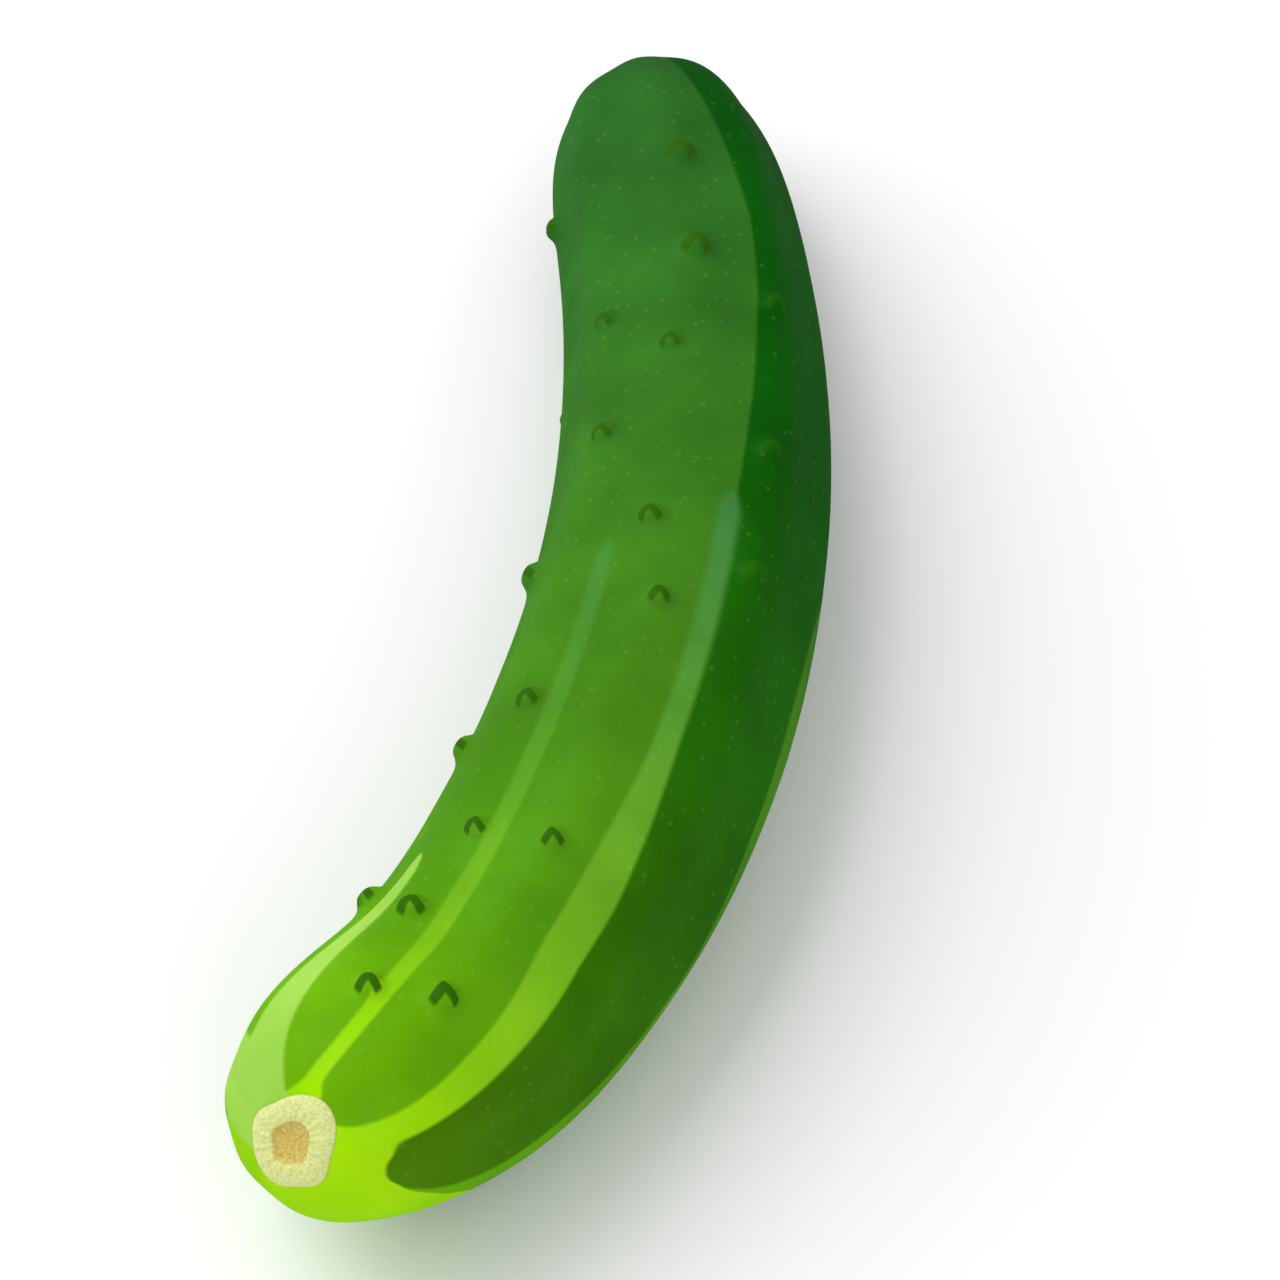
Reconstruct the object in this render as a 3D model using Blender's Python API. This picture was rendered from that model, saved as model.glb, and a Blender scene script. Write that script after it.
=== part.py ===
# A garden cucumber, picked and lying on its belly. It is one grown body: bowed seen from above,
# with faint ribs, scattered blunt warts, a corky blossom scar at the -Y end, which curls up a
# little, and a small stem scar at the +Y end. Metres, +Z up, resting on Z = 0.

import math
import random

import bmesh
import bpy
import numpy as np
from mathutils import Matrix, Vector

MM = 0.001

# The spine seen from above: control points of one smooth curve, blossom end first
SPINE = ((-20.84, -103.53), (5.04, -56.60), (-24.28, -102.51), (49.31, -25.37), (-19.47, 105.72))
SPINE_SAMPLES = 400

# Thickness: it narrows towards the stem end, and a little behind the blossom end
BODY_RADIUS = 21.5
TAPER = 0.225
TAPER_START = 0.42
TAPER_POWER = 1.2
WAIST = 0.04
WAIST_PLACE = 0.16
WAIST_REACH = 0.17

# Each end is a superellipse with a scar at its tip. The scar's relief is (share of its radius,
# height) from its middle outwards, and its middle may lie to one side of the tip.
BLOSSOM_END = {
    "side": -1, "cap_length": 53.6, "cap_power": 3.0, "scar_radius": 7.1, "shift": 3.1, "shift_angle": 17.0,
    "relief": ((0.0, -0.5), (0.25, -0.5), (0.42, -0.3), (0.52, 0.3), (0.76, 0.5), (0.94, 0.35), (1.0, 0.0),
               (1.14, -0.12), (1.4, 0.0)),
}
STEM_END = {
    "side": 1, "cap_length": 34.0, "cap_power": 2.95, "scar_radius": 3.6, "shift": 0.0, "shift_angle": 0.0,
    "relief": ((0.0, -0.9), (0.4, -0.9), (0.62, 0.2), (0.84, 0.5), (1.0, 0.1), (1.25, -0.1), (1.7, 0.0)),
}
# The scars are not round: waves round their outline as (count, size, start)
SCAR_WAVES = ((2, 0.09, -2.4), (3, 0.03, 2.2), (4, 0.045, 1.0), (5, 0.02, 2.5))
SHIFT_END = 0.85

# The blossom end curls up over its last stretch
CURL_LIFT = 11.0
CURL_REACH = 41.5

# Ribs run lengthwise between shallow furrows, which swing round towards the blossom end
RIB_COUNT = 8
RIB_HEIGHT = 0.45
FURROW_ANGLE = 73.5
SWING = 34.0
SWING_END = 0.55
LOBE_COUNT = 3
LOBE_SHARE = 0.012
LOBE_ANGLE = 75.0

# The belly touches down on three small flats, with shallow arches between them
FIRST_FLAT = 0.18
FLAT_SPACING = 0.32
ARCH_HEIGHT = 1.3
FLAT_DEPTH = 0.7

# Mesh fineness
SEGMENTS = 48
CAP_RINGS = 11
BODY_RINGS = 28

# Warts: half width, height, how deep the root goes
WART_HALF_WIDTH = 2.2
WART_HEIGHT = 1.8
WART_ROOT = 1.8
WART_SIDES = 9
WART_RINGS = 6
WART_SPREAD = 0.18
SEED = 12

# Warts placed one by one: share of the length from the blossom end, degrees round from +X
SEEN_WARTS = (
    (0.068, 99), (0.098, 74), (0.155, 115), (0.246, 116), (0.254, 85), (0.357, 125), (0.515, 100),
    (0.763, 90), (0.855, 90), (0.184, 160), (0.345, 168), (0.517, 172), (0.874, 179),
)
# The other warts stand in rows on the far side, clear of the belly, and on the middle stretch of
# the near side
WART_ROWS = 10
FIRST_ROW = 96.0
ROW_STATIONS = 8
ROW_START = 0.1
ROW_END = 0.93
STATION_JITTER = 0.022
ANGLE_JITTER = 6.0
WART_CLEARANCE = 14.5
BELLY = (236.0, 304.0)
NEAR_SIDE = (-50.0, 172.0)
MIDDLE_ANGLES = (56.0, 152.0)
MIDDLE_STRETCH = (0.40, 0.73)

SKIN = ("cucumber skin", (0.082, 0.262, 0.020), 0.34)
BLOSSOM_CORK = ("blossom scar cork", (0.672, 0.730, 0.275), 0.72)
STEM_CORK = ("stem scar cork", (0.250, 0.270, 0.080), 0.8)


def clearScene():
    for item in list(bpy.data.objects):
        bpy.data.objects.remove(item, do_unlink=True)


def makeMaterial(name, colour, roughness):
    material = bpy.data.materials.new(name)
    material.use_nodes = True
    material.diffuse_color = (*colour, 1.0)
    shader = material.node_tree.nodes["Principled BSDF"]
    shader.inputs["Base Color"].default_value = (*colour, 1.0)
    shader.inputs["Roughness"].default_value = roughness
    shader.inputs["Metallic"].default_value = 0.0
    return material


def sampleSpine():
    """Points of the spine seen from above, their shares of its length, and the length."""
    t = np.linspace(0.0, 1.0, SPINE_SAMPLES)[:, None]
    last = len(SPINE) - 1
    pulls = [math.comb(last, i) * (1 - t) ** (last - i) * t**i for i in range(last + 1)]
    points = sum(pull * np.array(point) for pull, point in zip(pulls, SPINE))
    steps = np.linalg.norm(np.diff(points, axis=0), axis=1)
    run = np.concatenate([[0.0], np.cumsum(steps)])
    return points, run / run[-1], float(run[-1])


PLAN, PLAN_SHARES, LENGTH = sampleSpine()


def bodyRadius(u):
    past = max(0.0, (u - TAPER_START) / (1 - TAPER_START))
    waist = max(0.0, 1 - ((u - WAIST_PLACE) / WAIST_REACH) ** 2) ** 2
    return BODY_RADIUS * (1 - TAPER * past**TAPER_POWER - WAIST * waist)


def capShare(distance, end):
    """Share of the body's thickness at a distance in from a tip."""
    inward = max(0.0, 1 - distance / end["cap_length"])
    return float((1 - inward ** end["cap_power"]) ** (1 / end["cap_power"]))


def capDistance(share, end):
    """Distance in from a tip where the end is this share as thick as the body."""
    power = end["cap_power"]
    return end["cap_length"] * (1 - (1 - share**power) ** (1 / power))


def centre(u):
    x = np.interp(u, PLAN_SHARES, PLAN[:, 0])
    y = np.interp(u, PLAN_SHARES, PLAN[:, 1])
    curl = CURL_LIFT * max(0.0, 1 - u * LENGTH / CURL_REACH) ** 2
    return Vector((x, y, bodyRadius(u) + curl))


def ringFrame(u):
    """The spine's centre there, its direction, and the ring's own right and up."""
    step = 0.002
    along = (centre(min(1.0, u + step)) - centre(max(0.0, u - step))).normalized()
    right = along.cross(Vector((0, 0, 1))).normalized()
    return centre(u), along, right, right.cross(along)


def swing(u):
    """How far the furrows have turned round at a station, in degrees."""
    return SWING * max(0.0, 1 - u / SWING_END) ** 2


def arch(u):
    return ARCH_HEIGHT * math.sin(math.pi * (u - FIRST_FLAT) / FLAT_SPACING) ** 2


def skinPoint(u, angle):
    """A point of the skin, from its share of the length and its angle round in radians."""
    middle, along, right, up = ringFrame(u)
    share = capShare(u * LENGTH, BLOSSOM_END) * capShare((1 - u) * LENGTH, STEM_END)
    furrow = math.radians(FURROW_ANGLE - swing(u))
    lobes = LOBE_SHARE * math.cos(LOBE_COUNT * (angle - math.radians(LOBE_ANGLE)))
    ribs = -RIB_HEIGHT * share**2 * math.cos(RIB_COUNT * (angle - furrow))
    radius = bodyRadius(u) * share * (1 + lobes * share) + ribs
    point = middle + radius * (math.cos(angle) * right + math.sin(angle) * up)
    below = max(0.0, -math.sin(angle)) ** 2
    point.z += (arch(u) - FLAT_DEPTH) * below * share
    return point


def skinNormal(u, angle):
    step = 0.01
    along = skinPoint(u + step, angle) - skinPoint(u - step, angle)
    around = skinPoint(u, angle + step) - skinPoint(u, angle - step)
    return around.cross(along).normalized()


def tipRadius(end):
    return bodyRadius(0.0 if end["side"] < 0 else 1.0)


def endPoint(end, reach, angle):
    """A point near one tip, by its distance out from the scar's middle as a share of the scar's
    radius. Far out, the scar's outline and its shift to one side have died away."""
    shares, heights = zip(*end["relief"])
    settled = max(0.0, min(1.0, (shares[-1] - reach) / (shares[-1] - 1)))
    waves = sum(size * math.cos(count * angle + start) for count, size, start in SCAR_WAVES)
    radius = end["scar_radius"] * reach * (1 + waves * settled)
    widest = SHIFT_END * tipRadius(end)
    slack = max(0.0, min(1.0, (widest - radius) / (widest - end["scar_radius"])))
    shift = math.radians(end["shift_angle"])
    x = radius * math.cos(angle) + end["shift"] * slack * math.cos(shift)
    y = radius * math.sin(angle) + end["shift"] * slack * math.sin(shift)
    inward = capDistance(min(1.0, math.hypot(x, y) / tipRadius(end)), end) / LENGTH
    u = inward if end["side"] < 0 else 1 - inward
    outward = ringFrame(u)[1] * end["side"]
    return skinPoint(u, math.atan2(y, x)) + outward * float(np.interp(reach, shares, heights))


def ringPlan():
    """One entry a ring, blossom end first: an end and the ring's reach there in scar radii, or
    None and its share of the spine's length."""
    def endRings(end):
        widest = tipRadius(end) / end["scar_radius"]
        first = math.asin((end["relief"][-1][0] / widest) ** (end["cap_power"] / 2))
        turns = [first + (math.pi / 2 - first) * step / CAP_RINGS for step in range(1, CAP_RINGS)]
        reaches = [share for share, _ in end["relief"][1:]]
        reaches += [widest * math.sin(turn) ** (2 / end["cap_power"]) for turn in turns]
        return [(end, reach) for reach in reaches]

    first = BLOSSOM_END["cap_length"] / LENGTH
    last = 1 - STEM_END["cap_length"] / LENGTH
    body = [(None, first + (last - first) * step / BODY_RINGS) for step in range(BODY_RINGS + 1)]
    return endRings(BLOSSOM_END) + body + endRings(STEM_END)[::-1]


def ringPoint(place, angle):
    """A point of the ring, and the material of the skin inside it: scars have their own."""
    end, where = place
    if end is None:
        return skinPoint(where, angle), 0
    slot = 1 if end["side"] < 0 else 2
    return endPoint(end, where, angle), slot if where <= 1 else 0


def addBody(collection, materials):
    """The whole fruit without warts: a sphere whose rings are moved out onto the skin."""
    plan = [(BLOSSOM_END, 0.0)] + ringPlan() + [(STEM_END, 0.0)]
    last = len(plan) - 1
    mesh = bmesh.new()
    bmesh.ops.create_uvsphere(mesh, u_segments=SEGMENTS, v_segments=last, radius=1.0)
    slots = {}
    for vert in mesh.verts:
        ring = round(math.acos(max(-1.0, min(1.0, vert.co.z))) / math.pi * last)
        angle = 0.0 if ring in (0, last) else -math.atan2(vert.co.y, vert.co.x)
        point, slots[vert] = ringPoint(plan[ring], angle)
        point.z = max(0.0, point.z)
        vert.co = point * MM
    for face in mesh.faces:
        face.material_index = min(slots[vert] for vert in face.verts)
    bmesh.ops.recalc_face_normals(mesh, faces=mesh.faces)
    data = bpy.data.meshes.new("cucumber")
    mesh.to_mesh(data)
    mesh.free()
    body = bpy.data.objects.new("cucumber", data)
    for material in materials:
        data.materials.append(material)
    collection.objects.link(body)
    return body


def addWart(number, u, degrees, size, collection, material):
    """A blunt bump that stands up from the skin, with its root sunk in."""
    angle = math.radians(degrees)
    foot = skinPoint(u, angle)
    mesh = bmesh.new()
    bmesh.ops.create_uvsphere(mesh, u_segments=WART_SIDES, v_segments=WART_RINGS, radius=1.0)
    for vert in mesh.verts:
        tall = WART_HEIGHT if vert.co.z > 0 else WART_ROOT
        vert.co = Vector((vert.co.x * WART_HALF_WIDTH, vert.co.y * WART_HALF_WIDTH, vert.co.z * tall)) * size
    turn = skinNormal(u, angle).to_track_quat("Z", "Y").to_matrix().to_4x4()
    mesh.transform(Matrix.Scale(MM, 4) @ Matrix.Translation(foot) @ turn)
    data = bpy.data.meshes.new(f"wart {number}")
    mesh.to_mesh(data)
    mesh.free()
    data.materials.append(material)
    collection.objects.link(bpy.data.objects.new(f"wart {number}", data))


def isRowPlace(u, degrees):
    turned = (degrees + 90.0) % 360.0 - 90.0
    isMiddle = MIDDLE_ANGLES[0] < turned < MIDDLE_ANGLES[1] and MIDDLE_STRETCH[0] < u < MIDDLE_STRETCH[1]
    isFar = not NEAR_SIDE[0] < turned < NEAR_SIDE[1] and not BELLY[0] < turned % 360.0 < BELLY[1]
    return isMiddle or isFar


def isClear(u, degrees, places):
    """Whether a spot is far enough, on the unrolled skin, from every place so far."""
    for otherU, otherDegrees, _ in places:
        turn = math.radians((degrees - otherDegrees + 180.0) % 360.0 - 180.0)
        if math.hypot((u - otherU) * LENGTH, turn * BODY_RADIUS) < WART_CLEARANCE:
            return False
    return True


def wartPlaces():
    """Station, degrees round and size of every wart."""
    draw = random.Random(SEED)
    places = [(u, degrees, 1 + draw.uniform(-WART_SPREAD, WART_SPREAD)) for u, degrees in SEEN_WARTS]
    for row in range(WART_ROWS):
        for step in range(ROW_STATIONS):
            share = (step + 0.5 * (row % 2)) / (ROW_STATIONS - 0.5)
            u = ROW_START + (ROW_END - ROW_START) * share + draw.uniform(-STATION_JITTER, STATION_JITTER)
            twist = draw.uniform(-ANGLE_JITTER, ANGLE_JITTER) - swing(u)
            degrees = FIRST_ROW + 360.0 / WART_ROWS * row + twist
            size = 1 + draw.uniform(-WART_SPREAD, WART_SPREAD)
            if isRowPlace(u, degrees) and isClear(u, degrees, places):
                places.append((u, degrees, size))
    return places


def joinWarts(body, collection, material):
    """Fuses all warts to the body in one union and drops their own objects."""
    warts = bpy.data.collections.new("warts")
    collection.children.link(warts)
    for number, (u, degrees, size) in enumerate(wartPlaces()):
        addWart(number, u, degrees, size, warts, material)
    union = body.modifiers.new("Join warts", "BOOLEAN")
    union.operation = "UNION"
    union.operand_type = "COLLECTION"
    union.collection = warts
    union.solver = "EXACT"
    with bpy.context.temp_override(object=body, active_object=body, selected_objects=[body]):
        bpy.ops.object.modifier_apply(modifier=union.name)
    for wart in list(warts.objects):
        bpy.data.objects.remove(wart, do_unlink=True)
    bpy.data.collections.remove(warts)


def buildCucumber():
    clearScene()
    collection = bpy.data.collections.new("cucumber")
    bpy.context.scene.collection.children.link(collection)
    materials = [makeMaterial(*values) for values in (SKIN, BLOSSOM_CORK, STEM_CORK)]
    body = addBody(collection, materials)
    joinWarts(body, collection, materials[0])
    body.data.shade_smooth()
    body.data.set_sharp_from_angle(angle=math.radians(50))
    return body


buildCucumber()
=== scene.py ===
import math
import random

import bpy
import numpy as np
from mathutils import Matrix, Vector


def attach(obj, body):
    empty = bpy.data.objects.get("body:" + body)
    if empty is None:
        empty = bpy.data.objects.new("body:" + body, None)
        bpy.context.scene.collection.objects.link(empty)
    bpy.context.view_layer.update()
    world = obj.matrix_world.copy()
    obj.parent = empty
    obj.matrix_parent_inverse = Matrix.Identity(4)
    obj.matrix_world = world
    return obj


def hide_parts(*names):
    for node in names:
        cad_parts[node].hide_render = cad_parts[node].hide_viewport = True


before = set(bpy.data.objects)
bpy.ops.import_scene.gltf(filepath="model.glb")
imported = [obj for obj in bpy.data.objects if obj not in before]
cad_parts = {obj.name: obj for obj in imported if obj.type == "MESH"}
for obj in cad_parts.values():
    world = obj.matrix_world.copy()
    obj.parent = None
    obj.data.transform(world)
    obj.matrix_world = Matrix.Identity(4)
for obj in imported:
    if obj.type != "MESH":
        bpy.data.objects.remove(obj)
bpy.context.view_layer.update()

mm = 0.001

# The fruit's form, in mm and degrees, the same as the solid's
form = {
    # control points from above, blossom end first
    "spine": ((-20.84, -103.53), (5.04, -56.60), (-24.28, -102.51), (49.31, -25.37), (-19.47, 105.72)),
    "radius": 21.5,
    "taper": 0.225,
    "taperStart": 0.42,
    "taperPower": 1.2,
    "waist": 0.04,
    "waistPlace": 0.16,
    "waistReach": 0.17,
    "curlLift": 11.0,
    "curlReach": 41.5,
    "ribCount": 8,
    "ribHeight": 0.45,
    "furrowAngle": 73.5,
    "swing": 34.0,
    "swingEnd": 0.55,
    "lobeCount": 3,
    "lobeShare": 0.012,
    "lobeAngle": 75.0,
    "firstFlat": 0.18,
    "flatSpacing": 0.32,
    "archHeight": 1.3,
    "flatDepth": 0.7,
}

# Both ends: a rounded cap with a corky scar, whose middle may lie to one side of the tip
blossomEnd = {
    "side": -1,
    "capLength": 53.6,
    "capPower": 3.0,
    "scarRadius": 6.8,
    "shift": 2.3,
    "shiftAngle": 8.0,
}
stemEnd = {
    "side": 1,
    "capLength": 34.0,
    "capPower": 2.95,
    "scarRadius": 3.6,
    "shift": 0.0,
    "shiftAngle": 0.0,
}
scarWaves = ((2, 0.115, -2.5), (3, 0.03, 2.2), (4, 0.045, 1.0), (5, 0.02, 2.5))  # count, size, start


# Arithmetic on node sockets

class Field:  # a socket that plain formulas can be written with
    def __init__(self, tree, socket):
        self.tree = tree
        self.socket = socket

    def __add__(self, other):
        return calc(self.tree, "ADD", self, other)

    def __radd__(self, other):
        return calc(self.tree, "ADD", other, self)

    def __sub__(self, other):
        return calc(self.tree, "SUBTRACT", self, other)

    def __rsub__(self, other):
        return calc(self.tree, "SUBTRACT", other, self)

    def __mul__(self, other):
        return calc(self.tree, "MULTIPLY", self, other)

    def __rmul__(self, other):
        return calc(self.tree, "MULTIPLY", other, self)

    def __truediv__(self, other):
        return calc(self.tree, "DIVIDE", self, other)

    def __rtruediv__(self, other):
        return calc(self.tree, "DIVIDE", other, self)

    def __pow__(self, other):
        return calc(self.tree, "POWER", self, other)


def plug(tree, socket, value):
    if isinstance(value, Field):
        value = value.socket
    if isinstance(value, bpy.types.NodeSocket):
        tree.links.new(value, socket)
    else:
        socket.default_value = value


def put(tree, kind, inputs=None, **settings):
    node = tree.nodes.new(kind)
    for name, value in settings.items():
        setattr(node, name, value)
    for name, value in (inputs or {}).items():
        plug(tree, node.inputs[name], value)
    return node


def calc(tree, operation, *values):
    node = put(tree, "ShaderNodeMath", operation=operation)
    for socket, value in zip(node.inputs, values):
        plug(tree, socket, value)
    return Field(tree, node.outputs[0])


def vectorCalc(tree, operation, *values):
    node = put(tree, "ShaderNodeVectorMath", operation=operation)
    for socket, value in zip(node.inputs, values):
        plug(tree, socket, value)
    plain = operation in ("DOT_PRODUCT", "LENGTH", "DISTANCE")
    return Field(tree, node.outputs["Value" if plain else "Vector"])


def scaled(tree, vector, factor):
    node = put(tree, "ShaderNodeVectorMath", {"Scale": factor}, operation="SCALE")
    plug(tree, node.inputs[0], vector)
    return Field(tree, node.outputs["Vector"])


def split(tree, vector):
    node = put(tree, "ShaderNodeSeparateXYZ")
    plug(tree, node.inputs[0], vector)
    return [Field(tree, socket) for socket in node.outputs]


def combine(tree, x, y, z):
    node = put(tree, "ShaderNodeCombineXYZ", {0: x, 1: y, 2: z})
    return Field(tree, node.outputs[0])


def atLeast(value, low):
    return calc(value.tree, "MAXIMUM", value, low) if isinstance(value, Field) else max(value, low)


def atMost(value, high):
    return calc(value.tree, "MINIMUM", value, high) if isinstance(value, Field) else min(value, high)


def sine(value):
    return calc(value.tree, "SINE", value) if isinstance(value, Field) else math.sin(value)


def cosine(value):
    return calc(value.tree, "COSINE", value) if isinstance(value, Field) else math.cos(value)


def angleOf(y, x):
    return calc(y.tree, "ARCTAN2", y, x)


def ramped(value, low, high, smooth=True):  # 0 at low, 1 at high
    node = put(value.tree, "ShaderNodeMapRange", {"From Min": low, "From Max": high})
    node.interpolation_type = "SMOOTHSTEP" if smooth else "LINEAR"
    plug(value.tree, node.inputs["Value"], value)
    return Field(value.tree, node.outputs["Result"])


def curved(value, points):  # a curve through given (x, y) points, both from 0 to 1
    node = put(value.tree, "ShaderNodeFloatCurve")
    plug(value.tree, node.inputs["Value"], value)
    line = node.mapping.curves[0]
    while len(line.points) < len(points):
        line.points.new(0.5, 0.5)
    for point, (x, y) in zip(line.points, points):
        point.location = (x, y)
    node.mapping.update()
    return Field(value.tree, node.outputs["Value"])


def newTree(name, kind, inputs, outputs):
    tree = bpy.data.node_groups.new(name, kind)
    for label, socketKind, value in inputs:
        item = tree.interface.new_socket(label, in_out="INPUT", socket_type=socketKind)
        if value is not None:
            item.default_value = value
    for label, socketKind in outputs:
        tree.interface.new_socket(label, in_out="OUTPUT", socket_type=socketKind)
    return tree, put(tree, "NodeGroupInput"), put(tree, "NodeGroupOutput")


def useGroup(tree, group, inputs):
    kind = "GeometryNodeGroup" if tree.bl_idname == "GeometryNodeTree" else "ShaderNodeGroup"
    return put(tree, kind, inputs, node_tree=group)


# Formulas of the form: they take plain numbers or fields

def spinePlan(t):  # the spine from above, in mm: t runs from 0 to 1 along its control points
    last = len(form["spine"]) - 1
    x, y = 0.0, 0.0
    for i, (px, py) in enumerate(form["spine"]):
        pull = math.comb(last, i) * (1 - t) ** (last - i) * t**i
        x = x + pull * px
        y = y + pull * py
    return x, y


def measureSpine():
    points = np.stack(spinePlan(np.linspace(0.0, 1.0, 400)), axis=1)
    return float(np.linalg.norm(np.diff(points, axis=0), axis=1).sum())


spineLength = measureSpine()


def bodyRadius(u):
    past = atLeast((u - form["taperStart"]) / (1 - form["taperStart"]), 0.0)
    waist = atLeast(1 - ((u - form["waistPlace"]) / form["waistReach"]) ** 2, 0.0) ** 2
    return form["radius"] * (1 - form["taper"] * past ** form["taperPower"] - form["waist"] * waist)


def capShare(distance, end):  # share of the full thickness, at a distance in from a tip
    inward = atLeast(1 - distance / end["capLength"], 0.0)
    return atLeast(1 - inward ** end["capPower"], 0.0) ** (1 / end["capPower"])


def capDistance(share, end):
    return end["capLength"] * (1 - atLeast(1 - share ** end["capPower"], 0.0) ** (1 / end["capPower"]))


def swing(u):  # how far the furrows have turned round, in degrees
    return form["swing"] * atLeast(1 - u / form["swingEnd"], 0.0) ** 2


def scarOutline(angle):
    waves = 1.0
    for count, size, start in scarWaves:
        waves = waves + size * cosine(count * angle + start)
    return waves


def tipRadius(end):
    return bodyRadius(0.0 if end["side"] < 0 else 1.0)


# Warts: the ones in view are placed one by one, the others stand in rows

warts = {
    "halfWidth": 2.1,
    "height": 1.75,
    # the directions up and across in which each wart's painted shade is laid out
    "wartShadeUp": (-0.18, 0.77, 0.61),
    "wartShadeSide": (0.97, 0.23, 0.0),
    "seed": 12,
    "spread": 0.18,
    "placed": (
        (0.068, 99), (0.098, 74), (0.155, 115), (0.246, 116), (0.254, 85), (0.357, 125), (0.515, 100),
        (0.763, 90), (0.855, 90), (0.184, 160), (0.345, 168), (0.517, 172), (0.874, 179),
    ),
    "rows": 10,
    "firstRow": 96.0,
    "rowStations": 8,
    "rowStart": 0.1,
    "rowEnd": 0.93,
    "stationJitter": 0.022,
    "angleJitter": 6.0,
    "clearance": 14.5,
    "belly": (236.0, 304.0),
    "nearSide": (-50.0, 172.0),
    "middleAngles": (56.0, 152.0),
    "middleStretch": (0.40, 0.73),
}


def isRowPlace(u, degrees):
    turned = (degrees + 90.0) % 360.0 - 90.0
    middle, stretch = warts["middleAngles"], warts["middleStretch"]
    near, belly = warts["nearSide"], warts["belly"]
    isMiddle = middle[0] < turned < middle[1] and stretch[0] < u < stretch[1]
    isFar = not near[0] < turned < near[1] and not belly[0] < turned % 360.0 < belly[1]
    return isMiddle or isFar


def isClear(u, degrees, places):
    for otherU, otherDegrees in (place[:2] for place in places):
        turn = math.radians((degrees - otherDegrees + 180.0) % 360.0 - 180.0)
        if math.hypot((u - otherU) * spineLength, turn * form["radius"]) < warts["clearance"]:
            return False
    return True


def wartPlaces():
    draw = random.Random(warts["seed"])
    spread, shake, twist = warts["spread"], warts["stationJitter"], warts["angleJitter"]
    rowLength = warts["rowEnd"] - warts["rowStart"]
    places = [(u, degrees, 1 + draw.uniform(-spread, spread)) for u, degrees in warts["placed"]]
    for row in range(warts["rows"]):
        for step in range(warts["rowStations"]):
            share = (step + 0.5 * (row % 2)) / (warts["rowStations"] - 0.5)
            u = warts["rowStart"] + rowLength * share + draw.uniform(-shake, shake)
            degrees = warts["firstRow"] + 360.0 / warts["rows"] * row + draw.uniform(-twist, twist) - swing(u)
            size = 1 + draw.uniform(-spread, spread)
            if isRowPlace(u, degrees) and isClear(u, degrees, places):
                places.append((u, degrees, size))
    return places


# Node groups that hold the form

def addLine(tree, count):  # a straight curve whose X runs from 0 to 1
    line = put(tree, "GeometryNodeCurvePrimitiveLine", {"Start": (0.0, 0.0, 0.0), "End": (1.0, 0.0, 0.0)})
    return put(tree, "GeometryNodeResampleCurve", {"Curve": line.outputs[0], "Count": count}).outputs[0]


def addSpineCurve(tree):  # the spine seen from above, as a curve in metres
    along = split(tree, put(tree, "GeometryNodeInputPosition").outputs[0])[0]
    x, y = spinePlan(along)
    place = {"Geometry": addLine(tree, 400), "Position": combine(tree, x * mm, y * mm, 0.0)}
    return put(tree, "GeometryNodeSetPosition", place).outputs[0]


def makeSpinePoint():  # the middle of the fruit at a station, 0 at the blossom end and 1 at the stem end
    tree, start, end = newTree(
        "spinePoint", "GeometryNodeTree",
        (("Station", "NodeSocketFloat", 0.5),),
        (("Point", "NodeSocketVector"),),
    )
    station = atMost(atLeast(Field(tree, start.outputs["Station"]), 0.0), 1.0)
    wanted = {"Curves": addSpineCurve(tree), "Factor": station}
    sample = put(tree, "GeometryNodeSampleCurve", wanted, mode="FACTOR")
    x, y = split(tree, sample.outputs["Position"])[:2]
    curl = form["curlLift"] * atLeast(1 - station * (spineLength / form["curlReach"]), 0.0) ** 2
    plug(tree, end.inputs["Point"], combine(tree, x, y, (bodyRadius(station) + curl) * mm))
    return tree


def makeSkinPlace(spinePoint):  # a point of the skin, with the ring's radius and direction there
    tree, start, end = newTree(
        "skinPlace", "GeometryNodeTree",
        (
            ("Station", "NodeSocketFloat", 0.5), ("Angle", "NodeSocketFloat", 0.0),
            ("Rib Height", "NodeSocketFloat", 0.45),
        ),
        (("Point", "NodeSocketVector"), ("Ring Radius", "NodeSocketFloat"), ("Along", "NodeSocketVector")),
    )
    station = Field(tree, start.outputs["Station"])
    angle = Field(tree, start.outputs["Angle"])
    step = 0.002
    before, middle, after = (
        useGroup(tree, spinePoint, {"Station": station + shift}).outputs["Point"]
        for shift in (-step, 0.0, step)
    )
    along = vectorCalc(tree, "NORMALIZE", vectorCalc(tree, "SUBTRACT", after, before))
    right = vectorCalc(tree, "NORMALIZE", vectorCalc(tree, "CROSS_PRODUCT", along, (0.0, 0.0, 1.0)))
    up = vectorCalc(tree, "CROSS_PRODUCT", right, along)

    share = capShare(station * spineLength, blossomEnd) * capShare((1 - station) * spineLength, stemEnd)
    furrow = (form["furrowAngle"] - swing(station)) * math.radians(1)
    lobes = form["lobeShare"] * cosine(form["lobeCount"] * (angle - math.radians(form["lobeAngle"])))
    ribHeight = Field(tree, start.outputs["Rib Height"])
    ribs = ribHeight * share * share * cosine(form["ribCount"] * (angle - furrow))
    ringRadius = bodyRadius(station) * share
    radius = (ringRadius * (1 + lobes * share) - ribs) * mm
    spoke = vectorCalc(tree, "ADD", scaled(tree, right, cosine(angle)), scaled(tree, up, sine(angle)))
    x, y, z = split(tree, vectorCalc(tree, "ADD", middle, scaled(tree, spoke, radius)))

    arch = form["archHeight"] * sine((station - form["firstFlat"]) * (math.pi / form["flatSpacing"])) ** 2
    below = atLeast(0 - sine(angle), 0.0) ** 2
    z = atLeast(z + (arch - form["flatDepth"]) * below * share * mm, 0.0)
    plug(tree, end.inputs["Point"], combine(tree, x, y, z))
    plug(tree, end.inputs["Ring Radius"], ringRadius)
    plug(tree, end.inputs["Along"], along)
    return tree


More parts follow.
